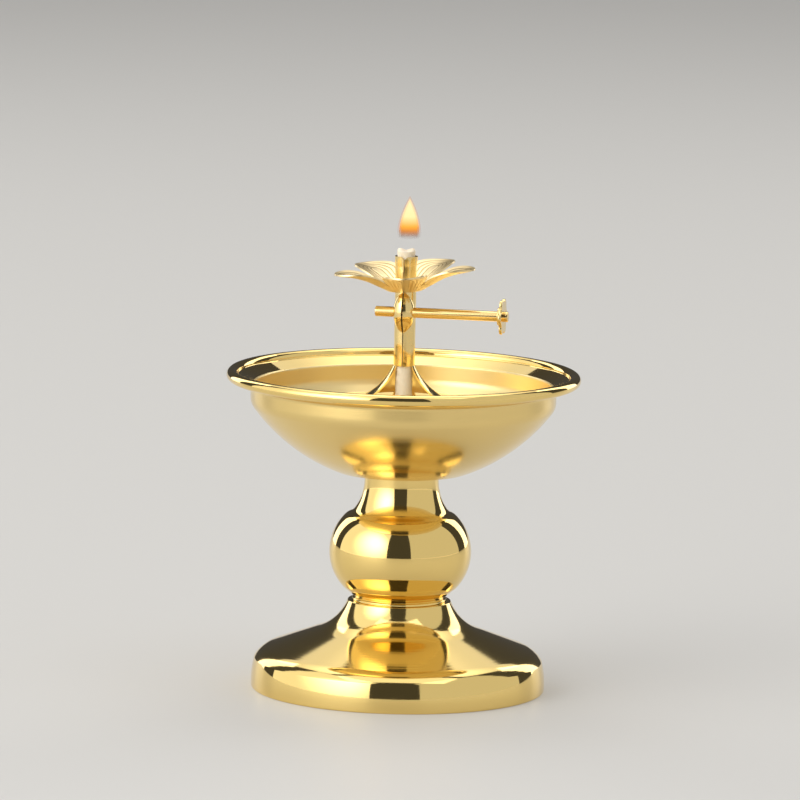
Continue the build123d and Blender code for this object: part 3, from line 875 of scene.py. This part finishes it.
# %% [markdown]
# ## Wick tube
# One sheet is rolled into a tube with its seam at the front and a flared, notched mouth. Round the feed
# wheel it swells into a pocket like a leaf bud, pointed above and below. That is the larger of two radii at
# each angle: the tube's own, and that of a lens standing off centre. Slow waves dent the sheet a little.

# %% Wick tube
TUBE_RADIUS = 2.7
SHEET_THICKNESS = 0.45
TUBE_ROOT = RIM_TOP + 1.5
SEAM_HALF = 0.1
NOTCH_HALF = 0.8
NOTCH_DEPTH = 0.8
MOUTH_FLARE = 0.18
MOUTH_HEIGHT = 2.4
POCKET_OFFSET = 1.9
POCKET_RADIUS = 2.75
POCKET_HALF_HEIGHT = 5.6
POCKET_BLEND = 0.04
SPINDLE_HEIGHT = TUBE_TOP - 14.1
HAND_DENT = 0.03
DENT_FREE = 1.5

middle = TUBE_RADIUS - SHEET_THICKNESS / 2
seam = SEAM_HALF / middle
tube_angle = np.linspace(-np.pi / 2 + seam, 3 * np.pi / 2 - seam, 161)
off_front = np.angle(np.exp(1j * (tube_angle + np.pi / 2)))
notch = NOTCH_DEPTH * np.clip(1 - middle * np.abs(off_front) / NOTCH_HALF, 0, 1)
tube_z = TUBE_ROOT + np.linspace(0, 1, 190)[:, None] * (TUBE_TOP - TUBE_ROOT - notch)

lens_radius = (POCKET_HALF_HEIGHT**2 + POCKET_RADIUS**2) / (2 * POCKET_RADIUS)
lens = np.sqrt(np.maximum(lens_radius**2 - (tube_z - SPINDLE_HEIGHT) ** 2, 0)) - lens_radius + POCKET_RADIUS
lens = np.maximum(lens - SHEET_THICKNESS / 2, 0)
pocket = circle_beside(lens, POCKET_OFFSET, off_front)
tube_r = (pocket + middle) / 2 + np.sqrt(((pocket - middle) / 2) ** 2 + POCKET_BLEND**2)
dents = np.sin(0.8 * tube_z + 1.3 * np.sin(tube_angle)) * np.sin(3 * tube_angle + 0.3 * tube_z)
tube_r += HAND_DENT * dents * (1 - np.exp(-((tube_z - TUBE_ROOT) / DENT_FREE) ** 2))
to_mouth = np.clip((tube_z - TUBE_TOP + MOUTH_HEIGHT) / MOUTH_HEIGHT, 0, 1)
tube_r += MOUTH_FLARE * np.sin(np.pi / 2 * to_mouth)
tube_solid = sheet_shell(about_axis(tube_r, tube_angle, tube_z), SHEET_THICKNESS)
print("the tube's radius is", round(tube_r.min(), 2), "to", round(tube_r.max(), 2), "mm")

# %% [markdown]
# ## Skirt and legs
# At the tube's foot the same sheet opens into a skirt and three legs. All are patches of one turned surface:
# a line that leaves the tube steeply, bends outwards, and ends just above the bowl.

# %% Skirt and legs
LEG_AZIMUTHS = (-5.0, 100.0, 205.0)
LEG_ROOT_WIDTH = 1.2
LEG_FOOT_WIDTH = 12.0
LEG_ROOT_ANGLE = 24.0
LEG_BEND_RADIUS = 16.5
LEG_BEND_ANGLE = 32.0
LEG_CLEARANCE = 0.3
SKIRT_RADIUS = 10.0

leg_heading = LEG_ROOT_ANGLE - 90.0
leg_start = np.array((middle, TUBE_ROOT))
leg_chord = 2 * LEG_BEND_RADIUS * np.sin(np.radians(LEG_BEND_ANGLE / 2))
bend_end = leg_start + leg_chord * unit(leg_heading + LEG_BEND_ANGLE / 2)
leg_bend = tangent_arc(leg_start, bend_end, leg_heading)
run = unit(leg_heading + LEG_BEND_ANGLE)
from_sphere = leg_bend[-1] - sphere_centre
limit = sphere_radius - BOWL_WALL - LEG_CLEARANCE - SHEET_THICKNESS / 2
forward = from_sphere @ run
leg_end = leg_bend[-1] + run * (np.sqrt(forward**2 - from_sphere @ from_sphere + limit**2) - forward)
leg_radius, leg_height = np.concatenate((leg_bend, straight(leg_bend[-1], leg_end)[1:])).T


def leg_half_angle(radius):
    """Half the angle that a leg takes up at a radius, from its width there, in radians."""
    width = LEG_ROOT_WIDTH + (LEG_FOOT_WIDTH - LEG_ROOT_WIDTH) * radius / leg_radius[-1]
    return np.arcsin(np.minimum(width / 2 / radius, 1))


def leg_patch(radius, first, last, columns):
    """Sheet on the legs' turned surface: a row for each radius, between that row's two angles."""
    angle = first[:, None] + np.linspace(0, 1, columns) * (last - first)[:, None]
    height = np.interp(radius, leg_radius, leg_height)
    return sheet_shell(about_axis(radius[:, None], angle, height[:, None]), SHEET_THICKNESS)


skirt_r = np.linspace(middle, SKIRT_RADIUS, 40)
leg_r = np.linspace(SKIRT_RADIUS, leg_radius[-1], 44)
skirt_half, leg_half = leg_half_angle(skirt_r), leg_half_angle(leg_r)
leg_middles = np.radians(LEG_AZIMUTHS)
skirt = leg_patch(skirt_r, leg_middles[0] - skirt_half, leg_middles[-1] + skirt_half, 121)
legs = [leg_patch(leg_r, at - leg_half, at + leg_half, 31) for at in leg_middles]
holder_solid = merge(tube_solid, skirt, *legs)
make_piece("wick_tube_rolled", holder_solid, "holder", SHEET, "wick_tube")

# %% [markdown]
# ## Lotus dish
# A five-petalled lotus, stamped from one sheet, catches drips and shades the tube. Seen from above the
# outline is a distance that depends only on the angle, so the dish is one ring-shaped grid from its bore out
# to that outline. Four grooves follow each petal's edge and draw together towards the hub.

# %% Lotus dish: outline and section
LOTUS_HEIGHT = TUBE_TOP - 8.8
LOTUS_THICKNESS = 0.4
LOTUS_BORE = 2.8
LOTUS_HUB = 3.8
LOTUS_PETALS = 5
LOTUS_FIRST = 281.0
LOTUS_RADIUS = 18.5
PETAL_MIDDLE = 11.0
PETAL_HALF_WIDTH = 5.6
LOTUS_RISE = 29.0
LOTUS_TIP = 10.0
LOTUS_RISE_BEND = 2.0
LOTUS_LEVEL_BEND = 24.0
LOTUS_LEVEL_RADIUS = 8.0
PETAL_COLUMNS = 96
PETAL_ROWS = 96

petal_half_length = LOTUS_RADIUS - PETAL_MIDDLE
# From the axis the last visible point of each oval is where a line from the axis touches it.
touch = np.arccos(-petal_half_length / PETAL_MIDDLE)
around_oval = np.tile(np.linspace(-touch, touch, PETAL_COLUMNS), LOTUS_PETALS)
edge_x = PETAL_MIDDLE + petal_half_length * np.cos(around_oval)
edge_y = PETAL_HALF_WIDTH * np.sin(around_oval)
edge_r = np.hypot(edge_x, edge_y)
offset = np.arctan2(edge_y, edge_x)
petal_number = np.repeat(np.arange(LOTUS_PETALS), PETAL_COLUMNS)
petal_angle = np.radians(LOTUS_FIRST) + 2 * np.pi / LOTUS_PETALS * petal_number + offset

hub_line = straight((LOTUS_BORE, 0), (LOTUS_HUB, 0), step=0.3)
rise_bend = arc((LOTUS_HUB, LOTUS_RISE_BEND), LOTUS_RISE_BEND, -90.0, LOTUS_RISE - 90.0)
rise_run = unit(LOTUS_RISE)
rise_end = rise_bend[-1] + rise_run * (LOTUS_LEVEL_RADIUS - rise_bend[-1][0]) / rise_run[0]
level_centre = rise_end + LOTUS_LEVEL_BEND * np.array((rise_run[1], -rise_run[0]))
level_bend = arc(level_centre, LOTUS_LEVEL_BEND, LOTUS_RISE + 90.0, LOTUS_TIP + 90.0)
past_tip = LOTUS_RADIUS + 1 - level_bend[-1][0]
tip_end = level_bend[-1] + past_tip * np.array((1, np.tan(np.radians(LOTUS_TIP))))
rise_line = straight(rise_bend[-1], rise_end)
lotus_line = np.concatenate((hub_line, rise_bend[1:], rise_line[1:], level_bend[1:], (tip_end,)))
print("the petals rise to", round(tip_end[1], 2), "mm above the hub")

# %% Lotus dish: grooves, tilt and piece
LOTUS_TILT = 3.5
LOTUS_TILT_AZIMUTH = 24.0
PETAL_CUP = 0.9
PETAL_NARROWING = 0.7
PLAIN_HUB = 1.0
PLAIN_FADE = 2.5
LINE_DEPTH = 0.10
LINE_WIDTH = 0.22
TINY = 1e-6

petal_r = LOTUS_BORE + np.linspace(0, 1, PETAL_ROWS)[:, None] * (edge_r - LOTUS_BORE)
petal_x = petal_r * np.cos(offset)
oval_x = np.maximum(petal_x - PETAL_MIDDLE, 0) / petal_half_length
oval_y = petal_r * np.abs(np.sin(offset)) / PETAL_HALF_WIDTH
oval = np.hypot(oval_x, oval_y) + TINY
to_tip = (1 - oval) * oval / np.hypot(oval_x / petal_half_length, oval_y / PETAL_HALF_WIDTH + TINY)
# Towards the hub the grooves draw together in step with the petal's width.
narrowing = (petal_x / PETAL_MIDDLE) ** PETAL_NARROWING
to_edge = np.where(petal_x > PETAL_MIDDLE, to_tip, PETAL_HALF_WIDTH * (1 - oval_y / narrowing))
beyond_hub = np.clip((petal_r - LOTUS_HUB - PLAIN_HUB) / PLAIN_FADE, 0, 1) ** 2
insets = GROOVE_FIRST + GROOVE_SPACING * np.arange(GROOVES)
lines = np.exp(-((to_edge[..., None] - insets) / LINE_WIDTH) ** 2).sum(-1)
rise = LOTUS_THICKNESS / 2 + np.interp(petal_r, *lotus_line.T)
rise += beyond_hub * (PETAL_CUP * oval_y**2 - LINE_DEPTH * lines)

# The dish sits loosely, so it leans: turned in the upright plane of the tilt's azimuth.
tilt, tilt_azimuth = np.radians((LOTUS_TILT, LOTUS_TILT_AZIMUTH))
uphill = petal_r * np.cos(petal_angle - tilt_azimuth)
shift = uphill * (np.cos(tilt) - 1) - rise * np.sin(tilt)
lotus_z = LOTUS_HEIGHT + uphill * np.sin(tilt) + rise * np.cos(tilt)
lotus_grid = about_axis(petal_r, petal_angle, lotus_z)
lotus_grid[..., 0] += shift * np.cos(tilt_azimuth)
lotus_grid[..., 1] += shift * np.sin(tilt_azimuth)
lotus_solid = sheet_shell(lotus_grid, LOTUS_THICKNESS, wrap_columns=True)
from_edge = np.clip(to_edge, 0, MAP_SPAN).reshape(-1) / MAP_SPAN
petal_map = np.zeros((2 * len(from_edge), 2))
petal_map[:len(from_edge), 0] = from_edge
make_piece("lotus_dish_stamped", lotus_solid, "holder", PETAL_SHEET, "lotus_dish", petal_map)

# %% [markdown]
# ## Spindle
# The spindle is drawn rod with rounded ends, and its ring of teeth in the tube's pocket moves the wick. It
# is a radius that depends on the angle about the spindle, carried along its axis.

# %% Spindle
SPINDLE_RADIUS = 1.3
SPINDLE_ENDS = (-7.3, 26.9)
SPINDLE_ROUND = 0.3
WHEEL_HALF_WIDTH = 1.0
WHEEL_ROOT = 1.35
WHEEL_TIP = 1.75
WHEEL_TEETH = 10
TOOTH_STEEPNESS = 2.2


def about_spindle(x, radius, angle):
    """Grid about the spindle's axis: a row for each x, with a radius for each angle."""
    y = radius * np.cos(angle) - POCKET_OFFSET
    z = radius * np.sin(angle) + SPINDLE_HEIGHT
    return np.stack(np.broadcast_arrays(x, y, z), axis=-1)


def rod_end(end, wheel_side):
    """Half of the rod, from its eased end to one side of the toothed wheel, as (radius, x)."""
    face = straight((0, end), (SPINDLE_RADIUS, end), step=0.3)
    side = straight((SPINDLE_RADIUS, end), (SPINDLE_RADIUS, wheel_side))
    return profile_of([face, side], [SPINDLE_ROUND])


spin = full_turn(120)
tooth = np.clip(1 - TOOTH_STEEPNESS * zigzag(WHEEL_TEETH * spin), 0, 1)
wheel = np.tile(WHEEL_ROOT + (WHEEL_TIP - WHEEL_ROOT) * tooth, (2, 1))
near = rod_end(SPINDLE_ENDS[0], -WHEEL_HALF_WIDTH)
far = rod_end(SPINDLE_ENDS[1], WHEEL_HALF_WIDTH)[::-1]
spindle_x = np.concatenate((near[:, 1], (-WHEEL_HALF_WIDTH, WHEEL_HALF_WIDTH), far[:, 1]))[:, None]
spindle_r = np.concatenate((near[:, :1] + 0 * spin, wheel, far[:, :1] + 0 * spin))
spindle_solid = ring_solid(about_spindle(spindle_x, spindle_r, spin))
make_piece("spindle_drawn", spindle_solid, "feed", ROD, "spindle")

# %% [markdown]
# ## Knob
# The knob is a small flower of six lobes. Its section is turned, and its outer part is pushed out to the
# lobes' outline: the farther of a round web and a circle on each lobe.

# %% Knob
KNOB_AT = 25.0
KNOB_THICKNESS = 0.8
KNOB_LOBES = 6
KNOB_RADIUS = 4.8
KNOB_LOBE = 1.45
KNOB_WEB = 3.9
KNOB_EDGE = 0.25
KNOB_HUB = 2.3
KNOB_HUB_HEIGHT = 0.7
KNOB_FIT = 0.02

lobe_turn = full_turn(180)
lobe_off = (1 - zigzag(KNOB_LOBES * lobe_turn)) * np.pi / KNOB_LOBES
knob_rim = np.maximum(circle_beside(KNOB_LOBE, KNOB_RADIUS - KNOB_LOBE, lobe_off), KNOB_WEB)
bore = SPINDLE_RADIUS + KNOB_FIT
hub_end = KNOB_AT - KNOB_HUB_HEIGHT
far_face = KNOB_AT + KNOB_THICKNESS
knob_runs = straights(
    (bore, hub_end), (KNOB_HUB, hub_end), (KNOB_HUB, KNOB_AT), (KNOB_WEB, KNOB_AT), (KNOB_WEB, far_face),
    (bore, far_face), (bore, hub_end), step=0.2,
)
knob_section = profile_of(knob_runs, [0.15, 0.1, KNOB_EDGE, KNOB_EDGE, 0.1, 0.1], closed=True)
outer_share = np.clip((knob_section[:, :1] - KNOB_HUB) / (KNOB_WEB - KNOB_HUB), 0, 1)
knob_r = knob_section[:, :1] + outer_share * (knob_rim - KNOB_WEB)
knob_solid = ring_solid(about_spindle(knob_section[:, 1:], knob_r, lobe_turn), closed=True)
make_piece("knob_flower", knob_solid, "feed", SHEET, "knob")

# %% [markdown]
# ## Wick
# The wick is a soft cotton cord of a few twisted strands. Its radius waves as the strands wind round, and
# its burnt-off top spreads into two soft lumps. It is pressed flat where it passes the feed wheel.

# %% Wick
WICK_RADIUS = 2.2
WICK_TUFT_RADIUS = 2.36
WICK_STRANDS = 4
STRAND_PITCH = 11.0
STRAND_DEPTH = 0.16
TUFT_HEIGHT = 0.8
TUFT_LUMP = 0.35
TUFT_NOTCH = 0.45
WICK_FLAT = 0.1
FEED_UP = 6.0
FEED_DOWN = 2.0
FLAT_SPARE = 0.4
WICK_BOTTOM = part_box("wick")[0].z / MM

wick_turn = full_turn(96)
wick_z = np.linspace(WICK_BOTTOM, WICK_TOP - TUFT_HEIGHT, 240)[:, None]
strand = np.abs(np.sin(WICK_STRANDS / 2 * (wick_turn + 2 * np.pi * wick_z / STRAND_PITCH)))
spread = np.clip((wick_z - TUBE_TOP) / (WICK_TOP - TUFT_HEIGHT - TUBE_TOP), 0, 1)
wick_r = WICK_RADIUS + (WICK_TUFT_RADIUS - WICK_RADIUS) * spread - STRAND_DEPTH * (1 - strand**0.6)
dome = np.linspace(0, np.pi / 2, 24)[1:, None]
lumps = TUFT_LUMP * np.cos(2 * (wick_turn - np.radians(VIEW_AZIMUTH))) * np.sin(2 * dome)
dome_z = wick_z[-1] + TUFT_HEIGHT * np.sin(dome) + lumps - TUFT_NOTCH * np.sin(dome) ** 4
cap = np.linspace(0, 1, 8)[:-1, None]
cap_z = np.full((len(cap), len(wick_turn)), WICK_BOTTOM)
all_r = np.concatenate((cap * wick_r[:1], wick_r, wick_r[-1] * np.cos(dome)))
all_z = np.concatenate((cap_z, wick_z + 0 * wick_turn, dome_z))
wick_grid = about_axis(all_r, wick_turn, all_z)
flat_low = SPINDLE_HEIGHT - WHEEL_TIP - FEED_UP - FLAT_SPARE
flat_high = SPINDLE_HEIGHT + WHEEL_TIP + FEED_DOWN + FLAT_SPARE
flattest = np.where((all_z > flat_low) & (all_z < flat_high), WICK_FLAT, -WICK_TUFT_RADIUS)
wick_grid[..., 1] = np.maximum(wick_grid[..., 1], flattest)
make_piece("wick_cord", ring_solid(wick_grid), "wick", COTTON, "wick")

# %% [markdown]
# ## Flame
# The flame is light, not a solid: three nested drops, each a turned profile with a size and a heat. The
# outer one is thin orange, the inner ones are yellow and hotter. They fade out near the wick, where the gas
# doesn't glow yet.

# %% Flame
FLAME_BASE = WICK_TOP - 0.2
FLAME_WIDEST = FLAME_BASE + 3.4
FLAME_TIP = 126.2
FLAME_RADIUS = 3.05
FLAME_POWER = 1.9
FLAME_SIDEWAYS = 0.6
FLAME_SHELLS = {"flame_edge": (1.0, 0.0), "flame_body": (0.86, 0.75), "flame_core": (0.7, 1.0)}


def flame_drop(size):
    """Turned drop: above its widest place the radius falls as 1 - climb**power. A quarter oval closes it."""
    climb = np.linspace(0, 1, 60)
    height = (FLAME_TIP - FLAME_WIDEST) * (1 + size) / 2
    above = np.column_stack((1 - climb**FLAME_POWER, climb * height))
    below = arc((0, 0), 1.0, -90.0, 0.0, 24)[:-1] * (1.0, FLAME_WIDEST - FLAME_BASE)
    profile = np.concatenate((below, above)) * (FLAME_RADIUS * size, 1.0) + (0.0, FLAME_WIDEST)
    points, quads = turned(profile, 48)
    return points + FLAME_SIDEWAYS * np.array(sideways), quads


def ramp(material, share, stops):
    """Colour that changes along a share of the flame's height, from stops of (share, colour)."""
    node = add_node(material, "ValToRGB", {0: share})
    elements = node.color_ramp.elements
    while len(elements) < len(stops):
        elements.new(0.5)
    for element, (place, colour) in zip(elements, stops):
        element.position = place
        element.color = colour
    return node.outputs[0]


def burning_gas(name, heat):
    """Glow by height: clear at the wick, then dark orange, and yellow-white above where the gas is hot.

    The thin edge (heat 0) hides 14 percent of what is behind it, and the core (heat 1) 96 percent.
    """
    material = new_finish(
        name, Base_Color=(0, 0, 0, 1), Roughness=1.0, Specular_IOR_Level=0.0,
        Emission_Strength=1.0 + 0.4 * heat,
    )
    height = add_node(material, "SeparateXYZ", {0: place_on(material)}).outputs[2]
    share = ranged(material, height, FLAME_BASE * MM, FLAME_TIP * MM, 0.0, 1.0)
    cool = ("#5E2C06", "#C86414", "#F08A24", "#F8A032", "#F59A32")
    hot = ("#7A420C", "#C87A18", "#F8B048", "#FFF0B4", "#FFF6C8")
    mixed = [np.array(linear(a)) * (1 - heat) + np.array(linear(b)) * heat for a, b in zip(cool, hot)]
    solid = 0.14 + 0.82 * heat**2
    clear = [(at, (part * solid,) * 3 + (1,)) for at, part in ((0.2, 0), (0.3, 0.35), (0.4, 0.85), (0.5, 1))]
    glow = ramp(material, share, list(zip((0.25, 0.34, 0.44, 0.62, 1.0), mixed)))
    plug(material, Emission_Color=glow, Alpha=ramp(material, share, clear))
    return material


for name, (size, heat) in FLAME_SHELLS.items():
    make_piece(name, flame_drop(size), "wick", burning_gas(name, heat), None)

# %% [markdown]
# ## Hardware inside
# A threaded rod, two washers and a nut pull bowl, stem and base together. Only the nut and washers show,
# from below, and just get their finish. The rod's thread is a triangle wave that winds once per pitch.

# %% Threaded rod and hardware
ROD_RADIUS = 2.5
ROD_CHAMFER = 0.5
THREAD_PITCH = 0.8
THREAD_DEPTH = 0.42
THREAD_ROWS = 8
rod_low, rod_high = (corner_point.z / MM for corner_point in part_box("tie_rod"))

rod_turn = full_turn(40)
rod_z = np.linspace(rod_low, rod_high, int((rod_high - rod_low) / THREAD_PITCH * THREAD_ROWS))[:, None]
thread = zigzag(2 * np.pi * rod_z / THREAD_PITCH - rod_turn)
from_end = np.minimum(rod_z - rod_low, rod_high - rod_z)
rod_r = ROD_RADIUS - np.maximum(THREAD_DEPTH * thread, ROD_CHAMFER - np.minimum(from_end, ROD_CHAMFER))
pole = np.zeros((1, len(rod_turn)))
rod_r = np.concatenate((pole, rod_r, pole))
rod_z = np.concatenate((rod_z[:1], rod_z, rod_z[-1:]))
rod_solid = ring_solid(about_axis(rod_r, rod_turn, rod_z))
make_piece("tie_rod_threaded", rod_solid, "stand", STEEL, "tie_rod")

for node in ("base_washer", "spring_washer", "hex_nut", "bowl_boss"):
    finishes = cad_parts[node].data.materials
    finishes.clear()
    finishes.append(SATIN_BRASS if node == "bowl_boss" else STEEL)
